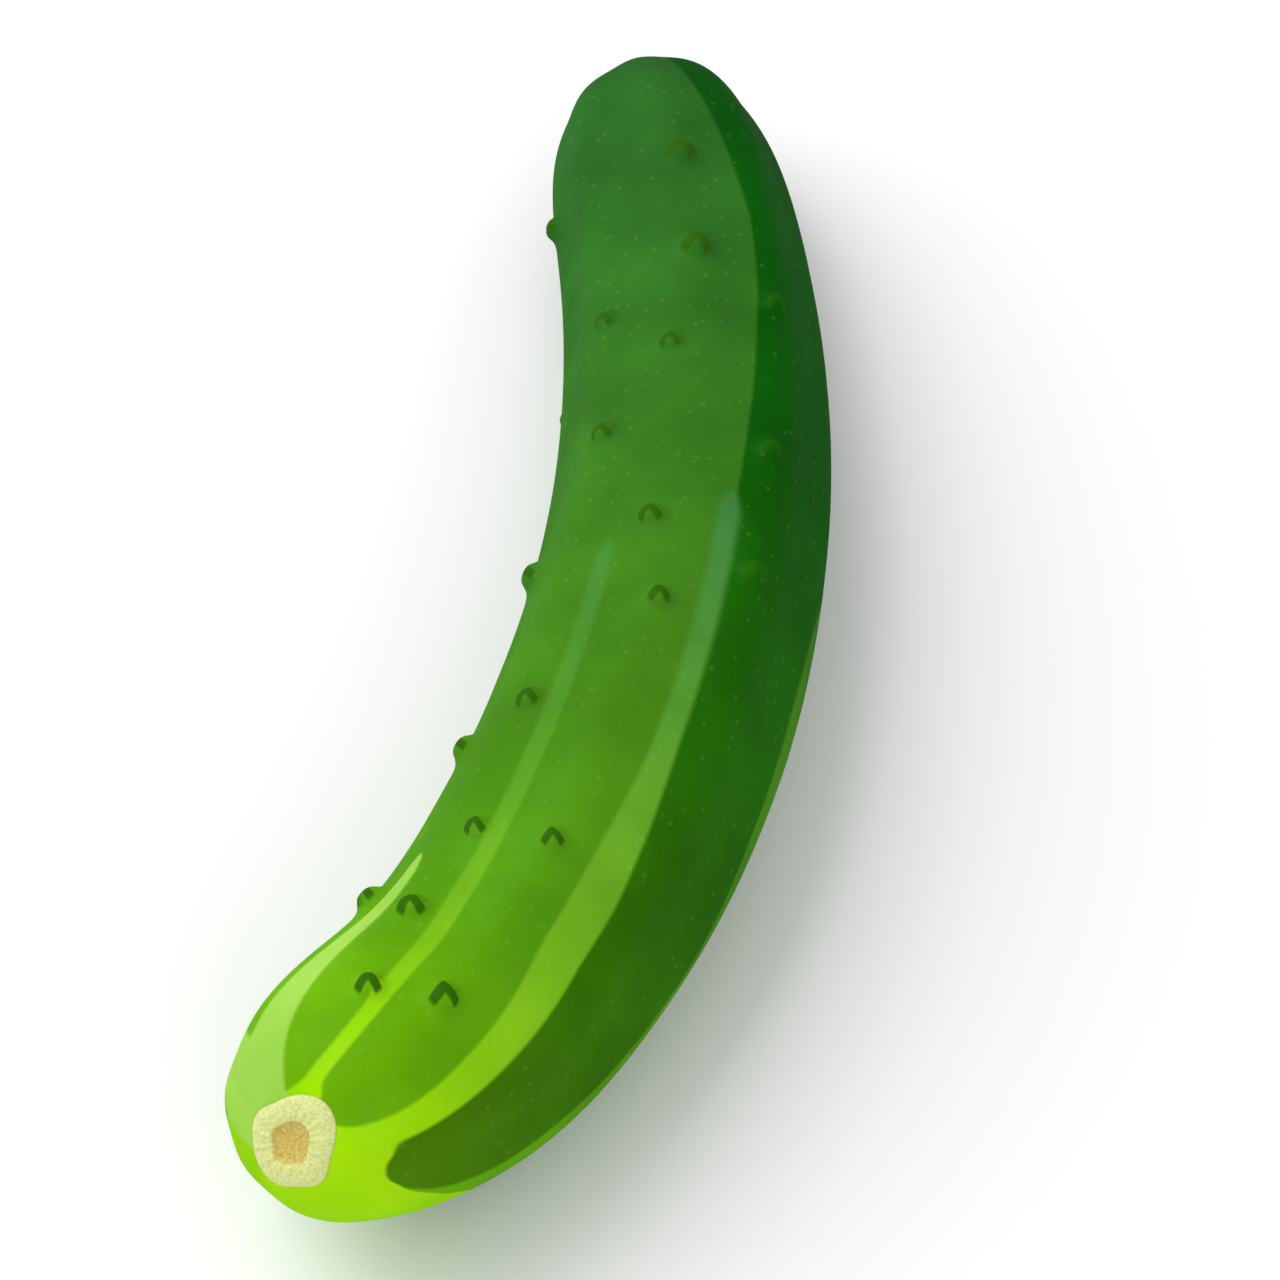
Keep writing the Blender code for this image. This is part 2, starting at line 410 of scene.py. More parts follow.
def scarReach(ringRadius, angle, end):  # distance from a scar's middle, as a share of the scar's own outline
    shift = math.radians(end["shiftAngle"])
    x = ringRadius * cosine(angle) - end["shift"] * math.cos(shift)
    y = ringRadius * sine(angle) - end["shift"] * math.sin(shift)
    out = calc(x.tree, "SQRT", x * x + y * y)
    return out / (end["scarRadius"] * scarOutline(angleOf(y, x)))


skin = {
    "segments": 260,
    "rings": 380,
    "seatDepth": 1.1,  # the skin dips under each scar
    "lump": 0.22,
    "inset": 0.12,  # keeps the fine skin inside the solid, which has flat faces
    "lumpScale": 38.0,
    # height of a wart against the distance from its middle, from 0 to twice its half width
    "wartProfile": (
        (0.0, 1.0), (0.16, 0.97), (0.3, 0.84), (0.42, 0.55), (0.54, 0.24), (0.7, 0.07), (1.0, 0.0),
    ),
}


def addEvenStations(tree):  # spreads the sphere's rings evenly over the fruit's outline
    x = split(tree, put(tree, "GeometryNodeInputPosition").outputs[0])[0]
    u = (1 - cosine(x * math.pi)) / 2
    share = capShare(u * spineLength, blossomEnd) * capShare((1 - u) * spineLength, stemEnd)
    outline = combine(tree, u * spineLength, bodyRadius(u) * share, 0.0)
    bent = {"Geometry": addLine(tree, 900), "Position": outline}
    outlineCurve = put(tree, "GeometryNodeSetPosition", bent).outputs[0]

    px, py, pz = split(tree, put(tree, "GeometryNodeInputPosition").outputs[0])
    turn = angleOf(calc(tree, "SQRT", px * px + py * py), pz)
    ring = turn / math.pi
    sample = put(tree, "GeometryNodeSampleCurve", {"Curves": outlineCurve, "Factor": ring}, mode="FACTOR")
    distance = split(tree, sample.outputs["Position"])[0]
    length = Field(tree, put(tree, "GeometryNodeCurveLength", {"Curve": outlineCurve}).outputs[0])
    return distance / spineLength, angleOf(py, px), ring * length


def keep(tree, geometry, name, value, kind, domain="POINT"):  # stores a value that the material reads
    node = put(tree, "GeometryNodeStoreNamedAttribute", data_type=kind, domain=domain)
    plug(tree, node.inputs["Geometry"], geometry)
    node.inputs["Name"].default_value = name
    plug(tree, next(s for s in node.inputs if s.name == "Value" and s.enabled), value)
    return node.outputs[0]


def sampleAt(tree, geometry, value, index):
    node = put(tree, "GeometryNodeSampleIndex", data_type="FLOAT_VECTOR")
    plug(tree, node.inputs["Geometry"], geometry)
    plug(tree, node.inputs["Index"], index)
    plug(tree, next(s for s in node.inputs if s.name == "Value" and s.enabled), value)
    return Field(tree, next(s for s in node.outputs if s.enabled))


def addWarts(tree, geometry, seeds, place, halfWidth, height):
    # The seeds' positions are station, angle and size, so they are first laid on the skin
    position = put(tree, "GeometryNodeInputPosition").outputs[0]
    station, angle = split(tree, position)[:2]
    foot = useGroup(tree, place, {"Station": station, "Angle": angle})
    laid = {"Geometry": seeds, "Position": foot.outputs["Point"]}
    feet = put(tree, "GeometryNodeSetPosition", laid).outputs[0]
    nearest = put(tree, "GeometryNodeSampleNearest", {"Geometry": feet}, domain="POINT").outputs[0]
    size = split(tree, sampleAt(tree, seeds, position, nearest))[2]
    toFoot = vectorCalc(tree, "SUBTRACT", position, sampleAt(tree, feet, position, nearest))
    unit = halfWidth * size * mm
    away = vectorCalc(tree, "LENGTH", toFoot) / unit
    rise = curved(away / 2, skin["wartProfile"]) * height * size * mm
    # the wart's own frame, in which the painted shade on its upper side is laid out
    upward = vectorCalc(tree, "DOT_PRODUCT", toFoot, warts["wartShadeUp"]) / unit
    sideways = vectorCalc(tree, "DOT_PRODUCT", toFoot, warts["wartShadeSide"]) / unit
    geometry = keep(tree, geometry, "wartPlace", combine(tree, away, upward, sideways), "FLOAT_VECTOR")
    normal = put(tree, "GeometryNodeInputNormal").outputs[0]
    moved = put(tree, "GeometryNodeSetPosition", {"Geometry": geometry, "Offset": scaled(tree, normal, rise)})
    return moved.outputs[0]


def makeFruitTree(place):
    tree, start, end = newTree(
        "fruitSkin", "GeometryNodeTree",
        (
            ("Wart Seeds", "NodeSocketGeometry", None), ("Segments", "NodeSocketInt", skin["segments"]),
            ("Rings", "NodeSocketInt", skin["rings"]), ("Rib Height", "NodeSocketFloat", form["ribHeight"]),
            ("Wart Half Width", "NodeSocketFloat", warts["halfWidth"]),
            ("Wart Height", "NodeSocketFloat", warts["height"]), ("Lump", "NodeSocketFloat", skin["lump"]),
            ("Inset", "NodeSocketFloat", skin["inset"]),
            ("Material", "NodeSocketMaterial", None),
        ),
        (("Skin", "NodeSocketGeometry"),),
    )
    given = {socket.name: Field(tree, socket) for socket in start.outputs if socket.name}
    sphere = put(tree, "GeometryNodeMeshUVSphere", {"Segments": given["Segments"], "Rings": given["Rings"]})
    station, angle, reach = addEvenStations(tree)
    spot = useGroup(tree, place, {"Station": station, "Angle": angle, "Rib Height": given["Rib Height"]})
    ringRadius = Field(tree, spot.outputs["Ring Radius"])

    geometry = keep(tree, sphere.outputs["Mesh"], "OFBake", sphere.outputs["UV Map"], "FLOAT2", "CORNER")
    geometry = keep(tree, geometry, "lie", combine(tree, station, reach, ringRadius), "FLOAT_VECTOR")
    geometry = keep(tree, geometry, "turn", combine(tree, cosine(angle), sine(angle), 0.0), "FLOAT_VECTOR")
    blossomReach = scarReach(ringRadius, angle, blossomEnd) + ramped(station, 0.4, 0.5) * 9
    stemReach = scarReach(ringRadius, angle, stemEnd) + (1 - ramped(station, 0.5, 0.6)) * 9
    nearScar = calc(tree, "MINIMUM", blossomReach, stemReach)
    geometry = keep(tree, geometry, "nearScar", nearScar, "FLOAT")
    geometry = put(tree, "GeometryNodeSetPosition", {"Geometry": geometry, "Position": spot.outputs["Point"]})

    # Low unevenness of a grown thing, none on the belly
    position = put(tree, "GeometryNodeInputPosition").outputs[0]
    noise = put(tree, "ShaderNodeTexNoise", {"Vector": position, "Scale": skin["lumpScale"], "Detail": 1.0})
    height = split(tree, position)[2]
    swell = (Field(tree, noise.outputs[0]) - 0.5) * given["Lump"] - given["Inset"]
    swell = swell * ramped(height, 0.001, 0.008)
    nearScarStored = put(tree, "GeometryNodeInputNamedAttribute", {"Name": "nearScar"}, data_type="FLOAT")
    seat = (1 - ramped(Field(tree, nearScarStored.outputs[0]), 0.82, 0.97)) * skin["seatDepth"]
    normal = put(tree, "GeometryNodeInputNormal").outputs[0]
    offset = scaled(tree, normal, (swell - seat) * mm)
    geometry = put(tree, "GeometryNodeSetPosition", {"Geometry": geometry.outputs[0], "Offset": offset})
    geometry = addWarts(tree, geometry.outputs[0], given["Wart Seeds"], place, given["Wart Half Width"],
                        given["Wart Height"])

    geometry = put(tree, "GeometryNodeSetShadeSmooth", {"Geometry": geometry}).outputs[0]
    geometry = put(tree, "GeometryNodeRealizeInstances", {"Geometry": geometry}).outputs[0]
    dressed = put(tree, "GeometryNodeSetMaterial", {"Geometry": geometry, "Material": given["Material"]})
    plug(tree, end.inputs["Skin"], dressed.outputs[0])
    return tree


scar = {
    "segments": 160,
    "rings": 90,
    "rimSink": 0.12,
    "thickness": 0.9,
    "wrinkle": 0.12,
    # height against the distance from the middle, both from 0 to 1: 0.5 is level with the skin
    "blossomRelief": (
        (0.0, 0.18), (0.24, 0.2), (0.4, 0.3), (0.5, 0.64), (0.62, 0.74), (0.8, 0.76), (0.93, 0.66),
        (1.0, 0.5),
    ),
    "stemRelief": (
        (0.0, 0.1), (0.4, 0.12), (0.56, 0.4), (0.7, 0.7), (0.86, 0.76), (0.95, 0.64), (1.0, 0.5),
    ),
    "reliefRange": 1.9,
}


def makeScarTree(place, end, relief, name):
    tree, start, out = newTree(
        name, "GeometryNodeTree",
        (
            ("Geometry", "NodeSocketGeometry", None), ("Segments", "NodeSocketInt", scar["segments"]),
            ("Rings", "NodeSocketInt", scar["rings"]), ("Radius", "NodeSocketFloat", end["scarRadius"]),
            ("Thickness", "NodeSocketFloat", scar["thickness"]),
            ("Wrinkle", "NodeSocketFloat", scar["wrinkle"]),
            ("Material", "NodeSocketMaterial", None),
        ),
        (("Scar", "NodeSocketGeometry"),),
    )
    given = {socket.name: Field(tree, socket) for socket in start.outputs if socket.name}
    sphere = put(tree, "GeometryNodeMeshUVSphere", {"Segments": given["Segments"], "Rings": given["Rings"]})
    x, y, z = split(tree, put(tree, "GeometryNodeInputPosition").outputs[0])
    # 0 to 1 over the top, on to 2 underneath
    turn = angleOf(calc(tree, "SQRT", x * x + y * y), z) / (math.pi / 2)
    around = angleOf(y, x) * -end["side"]
    isUnder = calc(tree, "GREATER_THAN", turn, 1.0)
    reach = atLeast(1 - calc(tree, "ABSOLUTE", 1 - turn), 0.0)

    shift = math.radians(end["shiftAngle"])
    out2d = reach * given["Radius"] * scarOutline(around)
    px = out2d * cosine(around) + end["shift"] * math.cos(shift)
    py = out2d * sine(around) + end["shift"] * math.sin(shift)
    inward = capDistance(calc(tree, "SQRT", px * px + py * py) / tipRadius(end), end) / spineLength
    station = inward if end["side"] < 0 else 1 - inward
    spot = useGroup(tree, place, {"Station": station, "Angle": angleOf(py, px)})

    ridges = cosine(around * 23 + 4 * reach) * cosine(around * 7 + 1.3) * reach * (1 - reach) * 4
    lift = (curved(reach, relief) - 0.5) * scar["reliefRange"] + ridges * given["Wrinkle"] - scar["rimSink"]
    sink = 0 - given["Thickness"] * ramped(1 - reach, 0.0, 0.12) - scar["rimSink"]
    height = lift * (1 - isUnder) + sink * isUnder
    outward = scaled(tree, spot.outputs["Along"], height * (end["side"] * mm))
    point = vectorCalc(tree, "ADD", spot.outputs["Point"], outward)

    geometry = keep(tree, sphere.outputs["Mesh"], "OFBake", sphere.outputs["UV Map"], "FLOAT2", "CORNER")
    polar = combine(tree, reach * cosine(around), reach * sine(around), reach)
    geometry = keep(tree, geometry, "scarPlace", polar, "FLOAT_VECTOR")
    geometry = put(tree, "GeometryNodeSetPosition", {"Geometry": geometry, "Position": point}).outputs[0]
    geometry = put(tree, "GeometryNodeSetShadeSmooth", {"Geometry": geometry}).outputs[0]
    geometry = put(tree, "GeometryNodeRealizeInstances", {"Geometry": geometry}).outputs[0]
    dressed = put(tree, "GeometryNodeSetMaterial", {"Geometry": geometry, "Material": given["Material"]})
    plug(tree, out.inputs["Scar"], dressed.outputs[0])
    return tree


spines = {
    "sides": 10,
    "radius": 0.3,
    "length": 0.8,
    "sink": 0.35,  # how deep its foot stands in the wart
}


def makeSpineTree(place):  # a tiny blunt prickle on the top of each wart
    tree, start, end = newTree(
        "wartSpines", "GeometryNodeTree",
        (
            ("Wart Seeds", "NodeSocketGeometry", None), ("Sides", "NodeSocketInt", spines["sides"]),
            ("Radius", "NodeSocketFloat", spines["radius"]), ("Length", "NodeSocketFloat", spines["length"]),
            ("Wart Height", "NodeSocketFloat", warts["height"]), ("Material", "NodeSocketMaterial", None),
        ),
        (("Spines", "NodeSocketGeometry"),),
    )
    given = {socket.name: Field(tree, socket) for socket in start.outputs if socket.name}
    station, angle, size = split(tree, put(tree, "GeometryNodeInputPosition").outputs[0])
    foot = useGroup(tree, place, {"Station": station, "Angle": angle}).outputs["Point"]
    # Steps along and round the skin give the way out of it
    pairs = []
    for du, dAngle in ((0.005, 0.0), (0.0, 0.02)):
        ahead = useGroup(tree, place, {"Station": station + du, "Angle": angle + dAngle}).outputs["Point"]
        behind = useGroup(tree, place, {"Station": station - du, "Angle": angle - dAngle}).outputs["Point"]
        pairs.append(vectorCalc(tree, "SUBTRACT", ahead, behind))
    out = vectorCalc(tree, "NORMALIZE", vectorCalc(tree, "CROSS_PRODUCT", pairs[1], pairs[0]))
    lift = (given["Wart Height"] * size - skin["inset"] - spines["sink"]) * mm
    top = vectorCalc(tree, "ADD", foot, scaled(tree, out, lift))
    seeds = keep(tree, given["Wart Seeds"], "spineWay", out, "FLOAT_VECTOR")
    points = put(tree, "GeometryNodeSetPosition", {"Geometry": seeds, "Position": top}).outputs[0]

    length = given["Length"] * mm
    cone = put(tree, "GeometryNodeMeshCone", {
        "Vertices": given["Sides"], "Side Segments": 3, "Radius Top": given["Radius"] * (0.35 * mm),
        "Radius Bottom": given["Radius"] * mm, "Depth": length,
    })
    shape = keep(tree, cone.outputs["Mesh"], "OFBake", cone.outputs["UV Map"], "FLOAT2", "CORNER")
    shape = put(tree, "GeometryNodeSetShadeSmooth", {"Geometry": shape}).outputs[0]
    way = put(tree, "GeometryNodeInputNamedAttribute", {"Name": "spineWay"}, data_type="FLOAT_VECTOR")
    turn = put(tree, "FunctionNodeAlignRotationToVector", {"Vector": way.outputs[0]}, axis="Z").outputs[0]
    wanted = {"Points": points, "Instance": shape, "Rotation": turn}
    copies = put(tree, "GeometryNodeInstanceOnPoints", wanted)
    geometry = put(tree, "GeometryNodeRealizeInstances", {"Geometry": copies.outputs[0]}).outputs[0]
    dressed = put(tree, "GeometryNodeSetMaterial", {"Geometry": geometry, "Material": given["Material"]})
    plug(tree, end.inputs["Spines"], dressed.outputs[0])
    return tree


def grow(name, tree, points, material, values):  # runs a tree on some points and keeps the plain mesh
    mesh = bpy.data.meshes.new(name + "Seeds")
    mesh.from_pydata(points, [], [])
    seeds = bpy.data.objects.new(name, mesh)
    bpy.context.scene.collection.objects.link(seeds)
    modifier = seeds.modifiers.new("Grow", "NODES")
    modifier.node_group = tree
    values = dict(values, Material=material)
    for item in tree.interface.items_tree:
        if item.in_out == "INPUT" and item.name in values:
            modifier[item.identifier] = values[item.name]
    seeds.update_tag()
    evaluated = seeds.evaluated_get(bpy.context.evaluated_depsgraph_get())
    grown = bpy.data.meshes.new_from_object(evaluated)
    grown.name = name
    seeds.modifiers.clear()
    seeds.data = grown
    bpy.data.meshes.remove(mesh)
    return seeds


# Shader groups

def srgb(r, g, b):  # screen colour, 0 to 255, to linear
    shares = (r / 255, g / 255, b / 255)
    linear = tuple(v / 12.92 if v <= 0.04045 else ((v + 0.055) / 1.055) ** 2.4 for v in shares)
    return (*linear, 1.0)


def ramp(tree, factor, stops):
    node = put(tree, "ShaderNodeValToRGB")
    plug(tree, node.inputs[0], factor)
    line = node.color_ramp
    while len(line.elements) < len(stops):
        line.elements.new(0.5)
    for element, (place, colour) in zip(line.elements, stops):
        element.position = place
        element.color = srgb(*colour)
    return node.outputs["Color"]


def mixColour(tree, factor, first, second, blend="MIX"):
    node = put(tree, "ShaderNodeMix", data_type="RGBA", blend_type=blend)
    plug(tree, node.inputs["Factor"], factor)
    colours = [s for s in node.inputs if s.type == "RGBA"]
    plug(tree, colours[0], first)
    plug(tree, colours[1], second)
    return next(s for s in node.outputs if s.type == "RGBA")


def attribute(tree, name, output="Vector"):
    return put(tree, "ShaderNodeAttribute", attribute_name=name).outputs[output]


streakShape = {
    "tipStretch": 0.2,  # share of the length over which a streak drifts and widens from the tip
    "tipWidth": 0.6,
    "narrowing": (0.24, 0.37),
    "roundEnd": 0.05,
}


def makeStreakGroup():  # distance in mm to the edge of one lengthwise streak, negative inside it
    tree, start, end = newTree(
        "streak", "ShaderNodeTree",
        (
            ("Angle", "NodeSocketFloat", 0.0), ("Station", "NodeSocketFloat", 0.5),
            ("Ring Radius", "NodeSocketFloat", 20.0), ("Base Angle", "NodeSocketFloat", 0.0),
            ("Tip Drift", "NodeSocketFloat", 0.0), ("Half Width", "NodeSocketFloat", 2.0),
            ("Taper", "NodeSocketFloat", 0.5), ("End", "NodeSocketFloat", 0.5),
            ("Narrowing", "NodeSocketFloat", 0.0),
        ),
        (("Gap", "NodeSocketFloat"),),
    )
    given = {socket.name: Field(tree, socket) for socket in start.outputs if socket.name}
    station, taper = given["Station"], given["Taper"]
    nearTip = atLeast(1 - station / streakShape["tipStretch"], 0.0)
    middle = given["Base Angle"] - swing(station) - given["Tip Drift"] * nearTip
    turn = calc(tree, "WRAP", given["Angle"] - middle, 180.0, -180.0)
    across = calc(tree, "ABSOLUTE", turn) * math.radians(1) * given["Ring Radius"]
    left = atLeast(1 - station / given["End"], 0.0)
    width = given["Half Width"] * (1 - taper + taper * left ** 0.5)
    width = width * ramped(left, 0.0, streakShape["roundEnd"])
    width = width * (1 - given["Narrowing"] * ramped(station, *streakShape["narrowing"]))
    tipWidth = streakShape["tipWidth"]
    width = width * (tipWidth + (1 - tipWidth) * ramped(station, 0.0, streakShape["tipStretch"]))
    plug(tree, end.inputs["Gap"], across - width + (1 - ramped(left, 0.0, 0.02)) * 3)
    return tree


def makeMottleGroup():  # cloudy variation, fine pores and specks in object space
    tree, start, end = newTree(
        "mottle", "ShaderNodeTree",
        (
            ("Cloud Scale", "NodeSocketFloat", 60.0), ("Pore Scale", "NodeSocketFloat", 900.0),
            ("Speck Scale", "NodeSocketFloat", 420.0),
        ),
        (("Cloud", "NodeSocketFloat"), ("Pores", "NodeSocketFloat"), ("Specks", "NodeSocketFloat")),
    )
    given = {socket.name: Field(tree, socket) for socket in start.outputs if socket.name}
    place = put(tree, "ShaderNodeTexCoord").outputs["Object"]
    cloud = put(tree, "ShaderNodeTexNoise", {"Vector": place, "Scale": given["Cloud Scale"], "Detail": 4.0})
    pores = put(tree, "ShaderNodeTexNoise", {"Vector": place, "Scale": given["Pore Scale"], "Detail": 2.0})
    specks = put(tree, "ShaderNodeTexVoronoi", {"Vector": place, "Scale": given["Speck Scale"]})
    speck = 1 - ramped(Field(tree, specks.outputs["Distance"]), 0.08, 0.2)
    plug(tree, end.inputs["Cloud"], cloud.outputs[0])
    plug(tree, end.inputs["Pores"], pores.outputs[0])
    plug(tree, end.inputs["Specks"], speck)
    return tree


streakGroup = makeStreakGroup()
mottleGroup = makeMottleGroup()


# Materials

skinLook = {
    # along the fruit: share of the length, screen colour
    "lobes": (
        (0.0, (105, 170, 4)), (0.08, (96, 162, 6)), (0.2, (81, 146, 13)), (0.35, (67, 128, 19)),
        (0.6, (52, 113, 27)), (0.8, (43, 105, 31)), (1.0, (36, 95, 32)),
    ),
    # painted shade: darker greens for the flank away from the key light
    "paintedShade": (
        (0.0, (70, 118, 1)), (0.08, (65, 117, 1)), (0.2, (51, 110, 2)), (0.35, (32, 98, 3)),
        (0.6, (10, 87, 4)), (1.0, (4, 77, 7)),
    ),
    "streaks": (
        (0.0, (158, 220, 4)), (0.05, (150, 212, 9)), (0.12, (129, 192, 22)), (0.25, (102, 165, 33)),
        (0.4, (77, 141, 47)), (0.52, (61, 125, 56)),
    ),
    # colour of the painted highlight on the left side near the blossom end
    "paintedHighlightColour": (154, 203, 80),
    # pale streaks: base angle, drift at the tip, half width in mm, taper, share of the length where
    # it ends, and how much narrower it is over its upper half
    "streakList": (
        (117.5, 0.0, 1.65, 0.15, 0.51, 0.0), (70.5, 11.0, 3.1, 0.1, 0.56, 0.42),
        (-62.0, 0.0, 2.2, 0.3, 0.46, 0.3), (-104.0, 0.0, 2.8, 0.2, 0.5, 0.4),
        (-144.0, 0.0, 1.7, 0.3, 0.44, 0.0),
    ),
    # the painted highlight, a pale whitish patch on the left side near the blossom end, with the same six
    # values for each of its two strokes
    "paintedHighlight": ((150.0, -21.0, 6.0, 1.0, 0.225, 0.0), (206.0, 0.0, 10.5, 1.0, 0.046, 0.0)),
    # how far the pale tip reaches, by angle: degrees, mm from the tip
    "tipEdges": (
        (-180, 7.0), (-150, 12.0), (-120, 18.0), (-90, 28.0), (-50, 34.0), (-28, 33.0), (-15, 26.0),
        (-5, 19.0), (8, 16.0), (20, 16.5), (30, 14.0), (40, 9.5), (55, 7.6), (78, 9.6), (95, 7.5),
        (115, 5.0), (180, 5.0),
    ),
    # the two edges of the painted shade on the flank away from the key light: share of the length, degrees
    "paintedShadeLeft": (
        (0.0, 61.0), (0.15, 61.3), (0.25, 63.2), (0.35, 66.2), (0.45, 67.3), (0.54, 68.6),
        (0.66, 65.5), (0.78, 61.5), (1.0, 61.0),
    ),
    "paintedShadeRight": (
        (0.0, 0.0), (0.04, -7.0), (0.08, -11.0), (0.16, -6.0), (0.26, -3.0), (0.37, 8.0),
        (0.48, 12.0), (0.56, -6.0), (0.66, -26.0), (1.0, -30.0),
    ),
    # shifts of the painted shade's left edge near the tip, and past the given share near the head
    "paintedShadeTipDrift": 7.0,
    "paintedShadeHeadDrift": 75.0,
    "paintedShadeHead": 0.8,
    "joinSoftness": 3.0,  # rounds the ends of the green lobes
    "edgeSoftness": (0.4, 0.9),  # at the blossom end and from the middle on
    "keySideStreakStrength": 0.65,  # of the pale streaks on the inner side of the bow, which faces the key light; below 1 it dims them there as painted shade
    "paintedHighlightStrength": 0.9,
    "cloudStrength": 0.15,
    "speckStrength": 0.05,
    "speckColour": (190, 220, 120),
    # painted shade on the upper side of each wart: its colour, strength, fading inside the flank's painted
    # shade, and the slope of its arms
    "wartShadeColour": (45, 94, 3),
    "wartShadeStrength": 0.95,
    "wartShadeFadeInPaintedShade": 0.6,
    "wartShadeSlope": 1.1,
    "coatRoughness": (0.30, 0.40),
    "coat": 0.06,
}


def curveOver(value, points, low, high):  # a curve through points whose heights run from low to high
    first, last = points[0][0], points[-1][0]
    shares = [((x - first) / (last - first), (y - low) / (high - low)) for x, y in points]
    return curved((value - first) / (last - first), shares) * (high - low) + low


def addStreak(tree, spot, values):
    names = ("Base Angle", "Tip Drift", "Half Width", "Taper", "End", "Narrowing")
    streak = useGroup(tree, streakGroup, dict(spot, **dict(zip(names, values))))
    return Field(tree, streak.outputs["Gap"])


def paleGap(tree, spot, reach):  # mm to the pale tip or the nearest pale streak
    gap = reach - curveOver(spot["Angle"], skinLook["tipEdges"], 0.0, 40.0)
    for values in skinLook["streakList"]:
        gap = calc(tree, "SMOOTH_MIN", gap, addStreak(tree, spot, values), skinLook["joinSoftness"])
    return gap


def paintedShadeDepth(spot):  # mm inside the painted shade on the flank away from the key light
    angle, station = spot["Angle"], spot["Station"]
    nearTip = atLeast(1 - station / streakShape["tipStretch"], 0.0)
    nearHead = atLeast(station - skinLook["paintedShadeHead"], 0.0)
    drift = skinLook["paintedShadeTipDrift"] * nearTip - skinLook["paintedShadeHeadDrift"] * nearHead
    fromLeft = curveOver(station, skinLook["paintedShadeLeft"], 50.0, 80.0) - swing(station) - drift - angle
    fromRight = angle - curveOver(station, skinLook["paintedShadeRight"], -40.0, 40.0)
    return atMost(fromLeft, fromRight) * math.radians(1) * spot["Ring Radius"]


def makeSkinMaterial():
    material = bpy.data.materials.new("cucumberSkin")
    material.use_nodes = True
    tree = material.node_tree
    shader = tree.nodes["Principled BSDF"]

    station, reach, ringRadius = split(tree, attribute(tree, "lie"))
    cosTurn, sinTurn = split(tree, attribute(tree, "turn"))[:2]
    angle = angleOf(sinTurn, cosTurn) * math.degrees(1)
    spot = {"Angle": angle, "Station": station, "Ring Radius": ringRadius}
    away, upward, sideways = split(tree, attribute(tree, "wartPlace"))
    mottle = useGroup(tree, mottleGroup, {})
    cloud = Field(tree, mottle.outputs["Cloud"])

    # Green lobes, with painted shade on the flank away from the key light, between pale streaks that are
    # dimmed as painted shade on the inner side of the bow, toward the key light
    lobes = ramp(tree, station, skinLook["lobes"])
    paintedShade = ramped(paintedShadeDepth(spot), -0.4, 0.4)
    colour = mixColour(tree, paintedShade, lobes, ramp(tree, station, skinLook["paintedShade"]))
    wobble = (cloud - 0.5) * 0.8
    crisp, smooth = skinLook["edgeSoftness"]
    soft = crisp + (smooth - crisp) * ramped(station, 0.2, 0.56)
    pale = 1 - ramped((paleGap(tree, spot, reach) + wobble) / soft, -1.0, 1.0)
    # the pale streaks are dimmed on the side toward the key light, as painted shade
    inner = skinLook["keySideStreakStrength"]
    pale = pale * (inner + (1 - inner) * ramped(cosTurn, -0.3, 0.25))
    colour = mixColour(tree, pale, colour, ramp(tree, station, skinLook["streaks"]))
    # Painted highlight: a pale whitish patch on the left side near the blossom end
    wide, short = (addStreak(tree, spot, values) for values in skinLook["paintedHighlight"])
    paintedHighlight = 1 - ramped(calc(tree, "SMOOTH_MIN", wide, short, skinLook["joinSoftness"]) + wobble, -0.5, 0.5)
    colour = mixColour(tree, paintedHighlight * skinLook["paintedHighlightStrength"], colour, srgb(*skinLook["paintedHighlightColour"]))

    # Cloudy variation and small pale specks
    tone = ramped(cloud, 0.3, 0.7)
    grey = put(tree, "ShaderNodeCombineColor", {0: tone, 1: tone, 2: tone}).outputs[0]
    colour = mixColour(tree, skinLook["cloudStrength"], colour, grey, "SOFT_LIGHT")
    pores, specks = Field(tree, mottle.outputs["Pores"]), Field(tree, mottle.outputs["Specks"])
    colour = mixColour(tree, specks * skinLook["speckStrength"], colour, srgb(*skinLook["speckColour"]))

    # Warts: painted shade, a dark arrow-shaped mark on the upper side of each, weaker inside the flank's
    # painted shade
    arrow = upward + calc(tree, "ABSOLUTE", sideways) * skinLook["wartShadeSlope"]
    wartShade = ramped(arrow, -0.25, 0.0) * (1 - ramped(arrow, 0.62, 0.82)) * (1 - ramped(away, 0.85, 1.1))
    wartShade = wartShade * (skinLook["wartShadeStrength"] - skinLook["wartShadeFadeInPaintedShade"] * paintedShade)
    colour = mixColour(tree, wartShade, colour, srgb(*skinLook["wartShadeColour"]))
    plug(tree, shader.inputs["Base Color"], colour)

    low, high = skinLook["coatRoughness"]
    plug(tree, shader.inputs["Coat Roughness"], low + (high - low) * cloud)
    shader.inputs["Specular IOR Level"].default_value = 0.0
    shader.inputs["Coat Weight"].default_value = skinLook["coat"]

    bump = put(tree, "ShaderNodeBump", {"Distance": 0.0002, "Strength": 0.35})
    plug(tree, bump.inputs["Height"], pores * 0.5 + specks * 0.3 + pale * -0.25)
    plug(tree, shader.inputs["Normal"], bump.outputs[0])
    return material


corkLook = {
    "rim": (208, 214, 138),
    "middle": (204, 182, 97),
    "middleReach": 0.47,
    "stemRim": (150, 160, 96),
    "stemMiddle": (120, 112, 66),
    "stemMiddleReach": 0.6,
    "roughness": 0.7,
}


